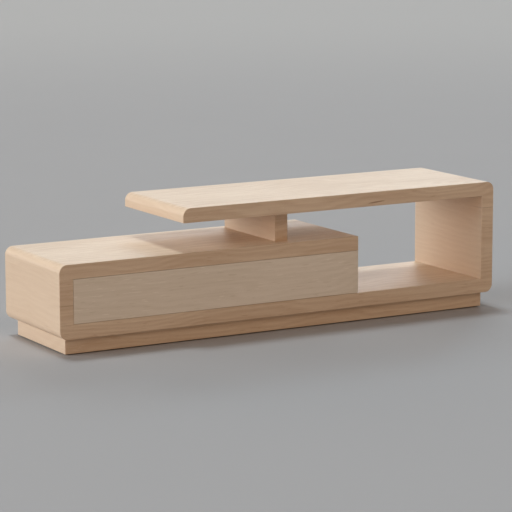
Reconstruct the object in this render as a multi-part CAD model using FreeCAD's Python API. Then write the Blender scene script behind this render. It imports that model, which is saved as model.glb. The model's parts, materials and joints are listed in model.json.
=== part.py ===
"""Low TV stand: thick boards in a stepped S shape on a recessed plinth, with one wide push-open drawer.

Millimetres. +X runs along the stand to the right, +Y to the back and +Z up.
The origin is on the floor below the middle of the stand.
"""
import FreeCAD
import Part

import math
import os
from collections import namedtuple

Vector = FreeCAD.Vector
UP = Vector(0, 0, 1)
DOWN = Vector(0, 0, -1)
FORWARD = Vector(0, -1, 0)
BACKWARD = Vector(0, 1, 0)
RIGHTWARD = Vector(1, 0, 0)

# Carcass boards
LENGTH = 1800.0  # left end to right end
DEPTH = 450.0  # front to back
BOARD = 52.0  # thickness of each thick board
CORNER_RADIUS = 30.0  # large round on the outer corners
ARRIS = 1.0  # small round along the front and back edges
END_ARRIS = 2.0  # small round on the crosswise edges of the shelf and the cabinet top
CABINET_LENGTH = 1202.0  # left end to the right end of the drawer cabinet
SHELF_LENGTH = 1320.0  # right end to the free end of the shelf
DRAWER_OPENING = 158.0  # clear height between the base and the cabinet top
SLOT_HEIGHT = 106.0  # clear height between the cabinet top and the shelf

# Upright under the shelf
SUPPORT_FROM_CABINET_END = 269.0
SUPPORT_FRONT_SETBACK = 52.0
SUPPORT_BACK_SETBACK = 25.0

# Plinth
PLINTH_HEIGHT = 58.0  # floor to the underside of the base
PLINTH_RAIL = 20.0
PLINTH_INSET_LEFT = 27.0
PLINTH_INSET_RIGHT = 40.0
PLINTH_INSET_FRONT = 18.0
PLINTH_INSET_BACK = 40.0
CROSS_RAIL_COUNT = 2
CORNER_BLOCK = 60.0  # leg of the triangular glue block
PLINTH_SCREW_ALONG = 36.0  # screw in a glue block: distance along the long rail
PLINTH_SCREW_INSET = 12.0  # screw in a glue block: distance off the long rail
PLINTH_SCREW_DIAMETER = 5.0
PLINTH_SCREW_BITE = 30.0  # length of screw in the base
PLINTH_SCREW_END = 110.0  # screw in a cross rail: distance from the rail's end
COUNTERBORE_DEPTH = 12.0
PLINTH_SCREW_HEAD = 2.5
GLIDE_HEIGHT = 4.0  # pad below the plinth, which leaves a shadow gap on the floor
GLIDE_SINK = 3.0  # pad in its recess
GLIDE_ROUND = 0.6  # round on the pad's lower rim
GLIDE_DIAMETER = 14.0
GLIDE_PIN_DIAMETER = 3.0
GLIDE_PIN_LENGTH = 14.0
GLIDE_INSET = 16.0  # glide in a glue block: distance off both rails
GLIDE_END = 40.0  # glide in a cross rail: distance from the rail's end

# Cabinet end and back
CABINET_END = 25.0
BACK_PANEL = 8.0
BACK_LAP = 10.0  # width of the rebate that takes the back panel
BACK_RECESS = 2.0  # back panel behind the boards' back edges
BACK_CLEARANCE = 0.5
BACK_SCREW_DIAMETER = 3.5
BACK_SCREW_LENGTH = 22.0
BACK_SCREW_COLUMNS = 6
BACK_SCREW_INSET = 45.0  # first screw from the back panel's end
BACK_SCREW_HEAD = 1.6

# Dowels between the boards
DOWEL_DIAMETER = 10.0
DOWEL_LENGTH = 70.0
DOWEL_COUNT = 4
DOWEL_EDGE = 60.0  # first dowel from the board's front or back edge
THIN_DOWEL_DIAMETER = 8.0
THIN_DOWEL_LENGTH = 50.0
DOWEL_CLEARANCE = 0.1
DOWEL_END_GAP = 0.8

# Drawer
FRONT_THICKNESS = 20.0
FRONT_GAP = 1.0  # shadow gap round the drawer front
FRONT_ARRIS = 0.6
PUSH_GAP = 4.0  # room behind the front to press it in
DRAWER_SIDE = 15.0
DRAWER_LIFT = 12.0  # drawer box above the base
DRAWER_HEADROOM = 26.0  # drawer box below the cabinet top
FINGER_COUNT = 8
DRAWER_BOTTOM = 8.0
BOTTOM_LIFT = 10.0  # drawer bottom above the drawer box's lower edge
GROOVE_DEPTH = 6.0
GROOVE_CLEARANCE = 0.3
MUNTIN_WIDTH = 50.0
MUNTIN_LIP = 8.0  # muntin above and below the drawer bottom
MUNTIN_DOWEL_LENGTH = 40.0
FRONT_SCREW_DIAMETER = 4.0
FRONT_SCREW_BITE = 12.0
FRONT_SCREW_COLUMNS = 3
FRONT_SCREW_END = 120.0  # first screw from the drawer box's end
FRONT_SCREW_LOW = 38.0  # lower row above the drawer box's lower edge
FRONT_SCREW_TOP = 25.0  # upper row below the drawer box's upper edge
FRONT_SCREW_HEAD = 2.4

# Ball slides, measured from the cabinet wall towards the drawer
SLIDE_HEIGHT = 45.0
SLIDE_AXIS = 50.0  # middle of the slide above the drawer box's lower edge
SLIDE_FRONT_SETBACK = 4.0
SLIDE_BACK_SETBACK = 6.0
SHEET = 1.2  # steel sheet of the three members
RAIL = 2.4  # flange with its ball races
RACE_DEPTH = 0.3
BALL_DIAMETER = 3.2
BALL_CLEARANCE = 0.1
BALL_PITCH = 18.0
CAGE_BALLS = 8  # balls in each row
CAGE_STRIP = 4.0  # width of a ball cage
CAGE_SHEET = 0.6
SCREW_ROOM = 3.4  # cabinet member's web to the middle member's web
CAGE_GAP = 1.0  # middle member's web to the inner ball cage
DRAWER_WEB_GAP = 0.7  # inner ball cage to the drawer member's web
MIDDLE_FLANGE_LIP = 1.4  # middle member's flange past its web, on the cabinet side
SLIDE_SCREW_DIAMETER = 3.5
SLIDE_SCREW_LENGTH = 12.0
SLIDE_SCREW_COUNT = 3
SLIDE_SCREW_END = 35.0
SLIDE_SCREW_HEAD = 1.5

# Push latches behind the drawer
LATCH_SPREAD = 840.0  # left latch to right latch
LATCH_AXIS = 24.0  # plunger above the base
LATCH_WIDTH = 16.0
LATCH_LENGTH = 45.0
LATCH_CROWN = 8.0  # housing above the plunger's axis
LATCH_END_WALL = 5.0
LATCH_BACK_GAP = 4.0
LATCH_EAR_SPAN = 40.0
LATCH_EAR_LENGTH = 20.0
LATCH_EAR_THICKNESS = 3.0
LATCH_SCREW_SPACING = 28.0
LATCH_SCREW_DIAMETER = 3.5
LATCH_SCREW_LENGTH = 18.0
PLUNGER_DIAMETER = 8.0
PLUNGER_CLEARANCE = 0.05
PLUNGER_REACH = 9.2  # plunger in front of its housing
PLUNGER_GUIDE = 24.0  # plunger inside its housing
STRIKE_THICKNESS = 1.5
STRIKE_WIDTH = 30.0
STRIKE_HEIGHT = 14.0
STRIKE_GAP = 0.3
STRIKE_SCREW_SPACING = 20.0
STRIKE_SCREW_DIAMETER = 3.0
STRIKE_SCREW_LENGTH = 10.0
SPRING_WIRE = 0.7
SPRING_DIAMETER = 5.6  # to the middle of the wire
SPRING_TURNS = 6
SPRING_END_GAP = 0.1

# Screws
SCREW_CLEARANCE = 0.1
HEAD_RATIO = 2.0  # head diameter over shank diameter
HEAD_ROUND_RATIO = 0.33  # round on the head's rim over the head's height
POINT_RATIO = 1.2  # length of the point over shank diameter
POINT_END_RATIO = 0.25  # blunt end of the point over shank diameter
RECESS_WIDTH_RATIO = 0.22  # slot of the cross recess over shank diameter
RECESS_LENGTH_RATIO = 1.1
RECESS_DEPTH_RATIO = 0.5  # depth of the cross recess over the head's height
SMALL_HEAD = 1.2  # height of the small flat heads

# Levels and faces that follow from the sizes above
LEFT = -LENGTH / 2
RIGHT = LENGTH / 2
FRONT = -DEPTH / 2
BACK = DEPTH / 2
BASE_TOP = PLINTH_HEIGHT + BOARD
CEILING = BASE_TOP + DRAWER_OPENING
CABINET_TOP = CEILING + BOARD
SHELF_BOTTOM = CABINET_TOP + SLOT_HEIGHT
TOP = SHELF_BOTTOM + BOARD
LEFT_INNER = LEFT + BOARD
RIGHT_INNER = RIGHT - BOARD
CABINET_RIGHT = LEFT + CABINET_LENGTH
CABINET_INNER = CABINET_RIGHT - CABINET_END
SHELF_LEFT = RIGHT - SHELF_LENGTH
SUPPORT_RIGHT = CABINET_RIGHT - SUPPORT_FROM_CABINET_END
SUPPORT_LEFT = SUPPORT_RIGHT - BOARD
BACK_OUTER = BACK - BACK_RECESS
BACK_INNER = BACK_OUTER - BACK_PANEL

PLINTH_LEFT = LEFT + PLINTH_INSET_LEFT
PLINTH_RIGHT = RIGHT - PLINTH_INSET_RIGHT
PLINTH_FRONT = FRONT + PLINTH_INSET_FRONT
PLINTH_BACK = BACK - PLINTH_INSET_BACK

SLIDE_THICKNESS = 3 * SHEET + SCREW_ROOM + CAGE_GAP + CAGE_STRIP + DRAWER_WEB_GAP
BOX_LEFT = LEFT_INNER + SLIDE_THICKNESS
BOX_RIGHT = CABINET_INNER - SLIDE_THICKNESS
BOX_MIDDLE = (BOX_LEFT + BOX_RIGHT) / 2
BOX_FRONT = FRONT + FRONT_THICKNESS
LATCH_SPACE = STRIKE_THICKNESS + STRIKE_GAP + PLUNGER_REACH + LATCH_LENGTH + LATCH_BACK_GAP
BOX_BACK = BACK_INNER - LATCH_SPACE
BOX_LOW = BASE_TOP + DRAWER_LIFT
BOX_HIGH = CEILING - DRAWER_HEADROOM
BOTTOM_LOW = BOX_LOW + BOTTOM_LIFT
BOTTOM_HIGH = BOTTOM_LOW + DRAWER_BOTTOM
SLIDE_FRONT = BOX_FRONT + SLIDE_FRONT_SETBACK
SLIDE_BACK = BOX_BACK - SLIDE_BACK_SETBACK
SLIDE_MIDDLE = (SLIDE_FRONT + SLIDE_BACK) / 2
SLIDE_Z = BOX_LOW + SLIDE_AXIS
PLUNGER_TIP = BOX_BACK + STRIKE_THICKNESS + STRIKE_GAP
HOUSING_FRONT = PLUNGER_TIP + PLUNGER_REACH
HOUSING_BACK = HOUSING_FRONT + LATCH_LENGTH
LATCH_Z = BASE_TOP + LATCH_AXIS
LATCH_XS = (BOX_MIDDLE - LATCH_SPREAD / 2, BOX_MIDDLE + LATCH_SPREAD / 2)

PAST = 1.0  # how far a cutting tool runs past the face it opens


def box(x0, x1, y0, y1, z0, z1):
    """Box between two corners, given in any order."""
    xs, ys, zs = sorted((x0, x1)), sorted((y0, y1)), sorted((z0, z1))
    corner = Vector(xs[0], ys[0], zs[0])
    return Part.makeBox(xs[1] - xs[0], ys[1] - ys[0], zs[1] - zs[0], corner)


def rod(start, direction, diameter, length):
    """Round rod from a start point."""
    return Part.makeCylinder(diameter / 2, length, start, direction)


def prism(points, z0, z1):
    """Upright prism over a flat outline of (x, y) points."""
    ring = [Vector(x, y, z0) for x, y in points]
    return Part.Face(Part.makePolygon(ring + ring[:1])).extrude(Vector(0, 0, z1 - z0))


def spread(first, last, count):
    """Evenly spaced places from first to last."""
    step = (last - first) / max(count - 1, 1)
    return [first + step * i for i in range(count)]


def placed(shape, point, direction):
    """Copy of a shape modelled along +Z from the origin, moved to a point and turned to a direction."""
    copy = shape.copy()
    copy.Placement = FreeCAD.Placement(point, FreeCAD.Rotation(UP, direction))
    return copy


def trimmed(shape, tools):
    """One solid with all the tools cut from it."""
    return shape.cut(tools).Solids[0] if tools else shape


def screw(diameter, length, head):
    """Cross-recessed screw: the head stands on the XY plane, and the plain shank points along -Z."""
    radius = diameter / 2
    point = diameter * POINT_RATIO
    shank = rod(Vector(0, 0, 0), DOWN, diameter, length - point)
    tip = Part.makeCone(radius, radius * POINT_END_RATIO, point, Vector(0, 0, point - length), DOWN)
    cap = rod(Vector(0, 0, 0), UP, diameter * HEAD_RATIO, head)
    rim = [edge for edge in cap.Edges if edge.BoundBox.ZMin > head / 2 and edge.Closed]
    cap = cap.makeFillet(head * HEAD_ROUND_RATIO, rim)
    reach = diameter * RECESS_LENGTH_RATIO / 2
    half = diameter * RECESS_WIDTH_RATIO / 2
    floor = head * (1 - RECESS_DEPTH_RATIO)
    slots = [
        box(-reach, reach, -half, half, floor, head + PAST),
        box(-half, half, -reach, reach, floor, head + PAST),
    ]
    return trimmed(cap.fuse([shank, tip]).removeSplitter(), slots)


def screw_holes(points, direction, diameter, length):
    """Holes for screws that point along a direction from their heads' seats."""
    bore = diameter + 2 * SCREW_CLEARANCE
    return [rod(p - direction * PAST, direction, bore, length + PAST + SCREW_CLEARANCE) for p in points]


def screws_at(points, direction, diameter, length, head):
    """Screws that point along a direction, with their heads seated at the points."""
    master = screw(diameter, length, head)
    return [placed(master, p, direction * -1) for p in points]


def rounded_face(corners, y):
    """Upright face at y from (x, z, radius) corners; a radius of 0 leaves a corner sharp."""
    points = [Vector(x, y, z) for x, z, _ in corners]
    edges, previous_end, first_start = [], None, None
    for i, (corner, (_, _, radius)) in enumerate(zip(points, corners)):
        towards_last = (points[i - 1] - corner).normalize()
        towards_next = (points[(i + 1) % len(points)] - corner).normalize()
        half_angle = towards_last.getAngle(towards_next) / 2
        setback = radius / math.tan(half_angle)
        start, end = corner + towards_last * setback, corner + towards_next * setback
        if previous_end is not None:
            edges.append(Part.LineSegment(previous_end, start).toShape())
        if radius:
            bisector = (towards_last + towards_next).normalize()
            middle = corner + bisector * (radius / math.sin(half_angle) - radius)
            edges.append(Part.Arc(start, middle, end).toShape())
        previous_end, first_start = end, first_start or start
    edges.append(Part.LineSegment(previous_end, first_start).toShape())
    return Part.Face(Part.Wire(edges))


def eased_carcass():
    """The glued-up thick boards as one block, with the front and back edges rounded over."""
    outline = [
        (LEFT, PLINTH_HEIGHT, CORNER_RADIUS),
        (RIGHT, PLINTH_HEIGHT, CORNER_RADIUS),
        (RIGHT, TOP, CORNER_RADIUS),
        (SHELF_LEFT, TOP, CORNER_RADIUS),
        (SHELF_LEFT, SHELF_BOTTOM, END_ARRIS),
        (RIGHT_INNER, SHELF_BOTTOM, 0),
        (RIGHT_INNER, BASE_TOP, 0),
        (LEFT_INNER, BASE_TOP, 0),
        (LEFT_INNER, CEILING, 0),
        (CABINET_RIGHT, CEILING, 0),
        (CABINET_RIGHT, CABINET_TOP, END_ARRIS),
        (LEFT, CABINET_TOP, CORNER_RADIUS),
    ]
    block = rounded_face(outline, FRONT).extrude(Vector(0, DEPTH, 0))
    rims = [e for e in block.Edges if e.BoundBox.YLength < ARRIS / 2]
    return block.makeFillet(ARRIS, rims)


def dowel_row(x, joint_z, y_first, y_last, count, diameter, length):
    """Upright dowels across a joint, and the holes that take them."""
    low = joint_z - length / 2
    places = [Vector(x, y, low) for y in spread(y_first, y_last, count)]
    dowels = [rod(p, UP, diameter, length) for p in places]
    bore, deep = diameter + 2 * DOWEL_CLEARANCE, length + 2 * DOWEL_END_GAP
    holes = [rod(p - UP * DOWEL_END_GAP, UP, bore, deep) for p in places]
    return dowels, holes


def dowel_joints():
    """Dowels of every board joint by node name, and all their holes."""
    thick = (DOWEL_COUNT, DOWEL_DIAMETER, DOWEL_LENGTH)
    thin = (DOWEL_COUNT, THIN_DOWEL_DIAMETER, THIN_DOWEL_LENGTH)
    ends = (FRONT + DOWEL_EDGE, BACK - DOWEL_EDGE)
    support_ends = (ends[0] + SUPPORT_FRONT_SETBACK, ends[1] - SUPPORT_BACK_SETBACK)
    cabinet_ends = (ends[0] + FRONT_THICKNESS, ends[1])
    joints = {
        "left_side_dowels": [((LEFT + LEFT_INNER) / 2, z, *ends, *thick) for z in (BASE_TOP, CEILING)],
        "right_side_dowels": [
            ((RIGHT_INNER + RIGHT) / 2, z, *ends, *thick) for z in (BASE_TOP, SHELF_BOTTOM)
        ],
        "shelf_support_dowels": [
            ((SUPPORT_LEFT + SUPPORT_RIGHT) / 2, z, *support_ends, *thick)
            for z in (CABINET_TOP, SHELF_BOTTOM)
        ],
        "cabinet_end_dowels": [
            ((CABINET_INNER + CABINET_RIGHT) / 2, z, *cabinet_ends, *thin) for z in (BASE_TOP, CEILING)
        ],
    }
    nodes, holes = {}, []
    for name, rows in joints.items():
        made = [dowel_row(*row) for row in rows]
        nodes[name] = [dowel for dowels, _ in made for dowel in dowels]
        holes += [hole for _, row_holes in made for hole in row_holes]
    return nodes, holes


def back_panel():
    """Thin back panel of the cabinet, its rebate, its screws and their holes."""
    left, right = LEFT_INNER - BACK_LAP, CABINET_INNER + BACK_LAP
    low, high = BASE_TOP - BACK_LAP, CEILING + BACK_LAP
    rebate = box(left, right, BACK_INNER, BACK + PAST, low, high)
    slack = BACK_CLEARANCE
    panel = box(left + slack, right - slack, BACK_INNER, BACK_OUTER, low + slack, high - slack)
    columns = spread(left + BACK_SCREW_INSET, right - BACK_SCREW_INSET, BACK_SCREW_COLUMNS)
    rows = (low + BACK_LAP / 2, high - BACK_LAP / 2)
    seats = [Vector(x, BACK_OUTER, z) for x in columns for z in rows]
    middle = (low + high) / 2
    seats += [Vector(x, BACK_OUTER, middle) for x in (left + BACK_LAP / 2, right - BACK_LAP / 2)]
    holes = screw_holes(seats, FORWARD, BACK_SCREW_DIAMETER, BACK_SCREW_LENGTH)
    screws = screws_at(seats, FORWARD, BACK_SCREW_DIAMETER, BACK_SCREW_LENGTH, BACK_SCREW_HEAD)
    return trimmed(panel, holes), rebate, screws, holes


def plinth():
    """Mitred plinth frame with cross rails, glue blocks, screws and glides, and the holes in the base."""
    outer = (PLINTH_LEFT, PLINTH_RIGHT, PLINTH_FRONT, PLINTH_BACK)
    x0, x1, y0, y1 = outer
    i0, i1, j0, j1 = x0 + PLINTH_RAIL, x1 - PLINTH_RAIL, y0 + PLINTH_RAIL, y1 - PLINTH_RAIL
    low, high = GLIDE_HEIGHT, PLINTH_HEIGHT
    rails = {
        "plinth_front_rail": [(x0, y0), (x1, y0), (i1, j0), (i0, j0)],
        "plinth_back_rail": [(i0, j1), (i1, j1), (x1, y1), (x0, y1)],
        "plinth_left_rail": [(x0, y0), (i0, j0), (i0, j1), (x0, y1)],
        "plinth_right_rail": [(x1, y0), (x1, y1), (i1, j1), (i1, j0)],
    }
    solids = {name: [prism(points, low, high)] for name, points in rails.items()}

    seats, glides, blocks = [], [], []
    for x, along in ((i0, 1), (i1, -1)):
        for y, across in ((j0, 1), (j1, -1)):
            leg_x, leg_y = along * CORNER_BLOCK, across * CORNER_BLOCK
            blocks.append(prism([(x, y), (x + leg_x, y), (x, y + leg_y)], low, high))
            seat = (x + along * PLINTH_SCREW_ALONG, y + across * PLINTH_SCREW_INSET)
            seats.append(Vector(*seat, low + COUNTERBORE_DEPTH))
            glides.append(Vector(x + along * GLIDE_INSET, y + across * GLIDE_INSET, low))

    cross_rails = []
    for x in spread(i0, i1, CROSS_RAIL_COUNT + 2)[1:-1]:
        cross_rails.append(box(x - PLINTH_RAIL / 2, x + PLINTH_RAIL / 2, j0, j1, low, high))
        for y, across in ((j0, 1), (j1, -1)):
            seats.append(Vector(x, y + across * PLINTH_SCREW_END, low + COUNTERBORE_DEPTH))
            glides.append(Vector(x, y + across * GLIDE_END, low))

    length = PLINTH_HEIGHT + PLINTH_SCREW_BITE - low - COUNTERBORE_DEPTH
    holes = screw_holes(seats, UP, PLINTH_SCREW_DIAMETER, length)
    head_room = PLINTH_SCREW_DIAMETER * HEAD_RATIO + 2 * SCREW_CLEARANCE
    counterbores = [rod(p, DOWN, head_room, COUNTERBORE_DEPTH + PAST) for p in seats]
    pin_bore = GLIDE_PIN_DIAMETER + 2 * SCREW_CLEARANCE
    pin_deep = GLIDE_PIN_LENGTH + SCREW_CLEARANCE
    pin_holes = [rod(p - UP * PAST, UP, pin_bore, pin_deep + PAST) for p in glides]
    pad_room = GLIDE_DIAMETER + 2 * SCREW_CLEARANCE
    pad_recesses = [rod(p - UP * PAST, UP, pad_room, GLIDE_SINK + PAST) for p in glides]
    tools = holes + counterbores + pin_holes + pad_recesses
    solids["plinth_corner_blocks"] = [trimmed(block, tools) for block in blocks]
    for number, rail in enumerate(cross_rails, 1):
        solids[f"plinth_cross_rail_{number}"] = [trimmed(rail, tools)]

    pad = rod(UP * GLIDE_SINK, DOWN, GLIDE_DIAMETER, GLIDE_SINK + GLIDE_HEIGHT)
    lower_rim = [e for e in pad.Edges if e.BoundBox.ZMax < -GLIDE_HEIGHT / 2]
    pad = pad.makeFillet(GLIDE_ROUND, lower_rim)
    pin = rod(Vector(0, 0, 0), UP, GLIDE_PIN_DIAMETER, GLIDE_PIN_LENGTH)
    glide = pad.fuse(pin).removeSplitter().Solids[0]
    solids["floor_glides"] = [placed(glide, p, UP) for p in glides]
    solids["plinth_screws"] = screws_at(seats, UP, PLINTH_SCREW_DIAMETER, length, PLINTH_SCREW_HEAD)
    return solids, holes


def drawer_box():
    """Finger-jointed drawer box with a split bottom on a centre muntin, and the drawer front on it."""
    side = DRAWER_SIDE
    inner_left, inner_right = BOX_LEFT + side, BOX_RIGHT - side
    inner_front, inner_back = BOX_FRONT + side, BOX_BACK - side
    slices = spread(BOX_LOW, BOX_HIGH, FINGER_COUNT + 1)

    def fingers(x0, x1, y0, y1, parity):
        pairs = list(zip(slices, slices[1:]))[parity::2]
        return [box(x0, x1, y0, y1, z0, z1) for z0, z1 in pairs]

    groove_high = BOTTOM_HIGH + GROOVE_CLEARANCE
    groove = box(
        inner_left - GROOVE_DEPTH,
        inner_right + GROOVE_DEPTH,
        inner_front - GROOVE_DEPTH,
        inner_back + GROOVE_DEPTH,
        BOTTOM_LOW,
        groove_high,
    )
    ends = ((BOX_FRONT, inner_front), (inner_back, BOX_BACK))
    walls = ((BOX_LEFT, inner_left), (inner_right, BOX_RIGHT))
    solids = {}
    for name, (x0, x1) in zip(("drawer_left_side", "drawer_right_side"), walls):
        notches = [finger for y0, y1 in ends for finger in fingers(x0, x1, y0, y1, 0)]
        solids[name] = trimmed(box(x0, x1, BOX_FRONT, BOX_BACK, BOX_LOW, BOX_HIGH), notches + [groove])
    for name, (y0, y1) in zip(("drawer_box_front", "drawer_back"), ends):
        notches = [finger for x0, x1 in walls for finger in fingers(x0, x1, y0, y1, 1)]
        solids[name] = trimmed(box(BOX_LEFT, BOX_RIGHT, y0, y1, BOX_LOW, BOX_HIGH), notches + [groove])

    muntin_left, muntin_right = BOX_MIDDLE - MUNTIN_WIDTH / 2, BOX_MIDDLE + MUNTIN_WIDTH / 2
    grip = GROOVE_DEPTH - GROOVE_CLEARANCE
    bottoms = {
        "drawer_bottom_left": (inner_left - grip, muntin_left + grip),
        "drawer_bottom_right": (muntin_right - grip, inner_right + grip),
    }
    for name, (x0, x1) in bottoms.items():
        solids[name] = box(x0, x1, inner_front - grip, inner_back + grip, BOTTOM_LOW, BOTTOM_HIGH)
    lip_low, lip_high = BOTTOM_LOW - MUNTIN_LIP, BOTTOM_HIGH + MUNTIN_LIP
    muntin = box(muntin_left, muntin_right, inner_front, inner_back, lip_low, lip_high)
    ploughs = [
        box(edge - GROOVE_DEPTH, edge + GROOVE_DEPTH, inner_front, inner_back, BOTTOM_LOW, groove_high)
        for edge in (muntin_left, muntin_right)
    ]
    solids["drawer_muntin"] = trimmed(muntin, ploughs)

    muntin_middle = (lip_low + lip_high) / 2
    pegs, peg_holes = [], []
    bore = THIN_DOWEL_DIAMETER + 2 * DOWEL_CLEARANCE
    bore_length = MUNTIN_DOWEL_LENGTH + DOWEL_END_GAP + PAST
    for y, direction in ((BOX_FRONT, BACKWARD), (BOX_BACK, FORWARD)):
        start = Vector(BOX_MIDDLE, y, muntin_middle)
        pegs.append(rod(start, direction, THIN_DOWEL_DIAMETER, MUNTIN_DOWEL_LENGTH))
        peg_holes.append(rod(start - direction * PAST, direction, bore, bore_length))
    for name in ("drawer_box_front", "drawer_back", "drawer_muntin"):
        solids[name] = trimmed(solids[name], peg_holes)

    columns = spread(BOX_LEFT + FRONT_SCREW_END, BOX_RIGHT - FRONT_SCREW_END, FRONT_SCREW_COLUMNS)
    rows = (BOX_LOW + FRONT_SCREW_LOW, BOX_HIGH - FRONT_SCREW_TOP)
    seats = [Vector(x, inner_front, z) for x in columns for z in rows]
    length = side + FRONT_SCREW_BITE
    holes = screw_holes(seats, FORWARD, FRONT_SCREW_DIAMETER, length)
    solids["drawer_box_front"] = trimmed(solids["drawer_box_front"], holes)
    front = box(
        LEFT_INNER + FRONT_GAP, CABINET_RIGHT, FRONT, BOX_FRONT, BASE_TOP + FRONT_GAP, CEILING - FRONT_GAP
    )
    face_edges = [e for e in front.Edges if e.BoundBox.YMax < FRONT + FRONT_ARRIS / 2]
    solids["drawer_front"] = trimmed(front.makeFillet(FRONT_ARRIS, face_edges), holes)

    nodes = {name: [solid] for name, solid in solids.items()}
    nodes["muntin_dowels"] = pegs
    nodes["drawer_front_screws"] = screws_at(seats, FORWARD, FRONT_SCREW_DIAMETER, length, FRONT_SCREW_HEAD)
    return nodes


Slide = namedtuple("Slide", "nodes cabinet_screws drawer_screws cabinet_holes drawer_holes")


def slide(side, wall, inward):
    """One three-member ball slide on a cabinet wall; inward is +1 on the left wall and -1 on the right."""

    def part(u0, u1, y0, y1, v0, v1):
        return box(wall + inward * u0, wall + inward * u1, y0, y1, SLIDE_Z + v0, SLIDE_Z + v1)

    def along(u, v, diameter):
        start = Vector(wall + inward * u, SLIDE_FRONT - PAST, SLIDE_Z + v)
        return rod(start, BACKWARD, diameter, SLIDE_BACK - SLIDE_FRONT + 2 * PAST)

    reach = BALL_DIAMETER / 2 + BALL_CLEARANCE - RACE_DEPTH  # ball's middle to the flange's face
    cabinet_face = SLIDE_HEIGHT / 2 - RAIL
    outer_v = cabinet_face - reach
    middle_high = outer_v - reach
    middle_low = middle_high - RAIL
    inner_v = middle_low - reach
    drawer_high = inner_v - reach
    drawer_low = drawer_high - RAIL

    middle_web = SHEET + SCREW_ROOM
    outer_u = middle_web + SHEET / 2
    inner_start = middle_web + SHEET + CAGE_GAP
    inner_u = inner_start + CAGE_STRIP / 2
    inner_end = inner_start + CAGE_STRIP
    drawer_web = inner_end + DRAWER_WEB_GAP
    race = BALL_DIAMETER + 2 * BALL_CLEARANCE
    outer_races = [along(outer_u, sign * outer_v, race) for sign in (1, -1)]
    inner_races = [along(inner_u, sign * inner_v, race) for sign in (1, -1)]

    def member(web0, flange0, flange1, v_face, v_edge, races):
        web_half = max(v_face, v_edge)
        web = part(web0, web0 + SHEET, SLIDE_FRONT, SLIDE_BACK, -web_half, web_half)
        flanges = [
            part(flange0, flange1, SLIDE_FRONT, SLIDE_BACK, sign * v_face, sign * v_edge) for sign in (1, -1)
        ]
        return trimmed(web.fuse(flanges).removeSplitter(), races)

    cabinet_member = member(0, 0, inner_end, cabinet_face, SLIDE_HEIGHT / 2, outer_races)
    middle_flange = middle_web - MIDDLE_FLANGE_LIP
    middle_races = outer_races + inner_races
    middle_member = member(middle_web, middle_flange, inner_end, middle_low, middle_high, middle_races)
    drawer_member = member(drawer_web, inner_start, SLIDE_THICKNESS, drawer_low, drawer_high, inner_races)

    def balls_in_cage(u, v):
        first = SLIDE_MIDDLE - BALL_PITCH * (CAGE_BALLS - 1) / 2
        ys = [first + BALL_PITCH * i for i in range(CAGE_BALLS)]
        strips, balls = [], []
        for sign in (1, -1):
            middles = [Vector(wall + inward * u, y, SLIDE_Z + sign * v) for y in ys]
            strip = part(
                u - CAGE_STRIP / 2,
                u + CAGE_STRIP / 2,
                ys[0] - BALL_PITCH / 2,
                ys[-1] + BALL_PITCH / 2,
                sign * v - CAGE_SHEET / 2,
                sign * v + CAGE_SHEET / 2,
            )
            pockets = [rod(m - UP * CAGE_SHEET, UP, race, 2 * CAGE_SHEET) for m in middles]
            strips.append(trimmed(strip, pockets))
            balls += [Part.makeSphere(BALL_DIAMETER / 2, m) for m in middles]
        return strips, balls

    outer_strips, outer_balls = balls_in_cage(outer_u, outer_v)
    inner_strips, inner_balls = balls_in_cage(inner_u, inner_v)

    ys = spread(SLIDE_FRONT + SLIDE_SCREW_END, SLIDE_BACK - SLIDE_SCREW_END, SLIDE_SCREW_COUNT)
    cabinet_seats = [Vector(wall + inward * SHEET, y, SLIDE_Z) for y in ys]
    drawer_seats = [Vector(wall + inward * drawer_web, y, SLIDE_Z) for y in ys]
    outward = RIGHTWARD * -inward
    cabinet_holes = screw_holes(cabinet_seats, outward, SLIDE_SCREW_DIAMETER, SLIDE_SCREW_LENGTH)
    drawer_holes = screw_holes(drawer_seats, outward * -1, SLIDE_SCREW_DIAMETER, SLIDE_SCREW_LENGTH)
    nodes = {
        f"{side}_slide_cabinet_member": [trimmed(cabinet_member, cabinet_holes)],
        f"{side}_slide_middle_member": [middle_member],
        f"{side}_slide_drawer_member": [trimmed(drawer_member, drawer_holes)],
        f"{side}_slide_outer_ball_cages": outer_strips,
        f"{side}_slide_inner_ball_cages": inner_strips,
        f"{side}_slide_outer_balls": outer_balls,
        f"{side}_slide_inner_balls": inner_balls,
    }
    screw_size = (SLIDE_SCREW_DIAMETER, SLIDE_SCREW_LENGTH, SLIDE_SCREW_HEAD)
    cabinet_screws = screws_at(cabinet_seats, outward, *screw_size)
    drawer_screws = screws_at(drawer_seats, outward * -1, *screw_size)
    return Slide(nodes, cabinet_screws, drawer_screws, cabinet_holes, drawer_holes)


def coil_path(start, diameter, pitch, turns):
    """Helix along +Y from a start on its axis, as two tangent arcs for each quarter turn."""
    radius = diameter / 2
    slope = pitch / (2 * math.pi)

    def at(angle):
        place = Vector(radius * math.cos(angle), slope * angle, radius * math.sin(angle))
        return start + place

    def heading(angle):
        return Vector(-radius * math.sin(angle), slope, radius * math.cos(angle)).normalize()

    def arc(first, knee, last):
        weight = (last - first).Length / (2 * (knee - first).Length)
        middle = (first + knee * (2 * weight) + last) * (1 / (2 + 2 * weight))
        return Part.Arc(first, middle, last).toShape()

    edges = []
    quarter = math.pi / 2
    for i in range(4 * turns):
        a, b = i * quarter, (i + 1) * quarter
        chord, pull = at(b) - at(a), heading(a) + heading(b)
        square = pull.dot(pull) - 4
        along = chord.dot(pull)
        arm = (along - math.sqrt(along * along - square * chord.dot(chord))) / square
        first_knee, last_knee = at(a) + heading(a) * arm, at(b) - heading(b) * arm
        joint = (first_knee + last_knee) * 0.5
        edges += [arc(at(a), first_knee, joint), arc(joint, last_knee, at(b))]
    return Part.Wire(edges), at(0), heading(0)


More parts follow.
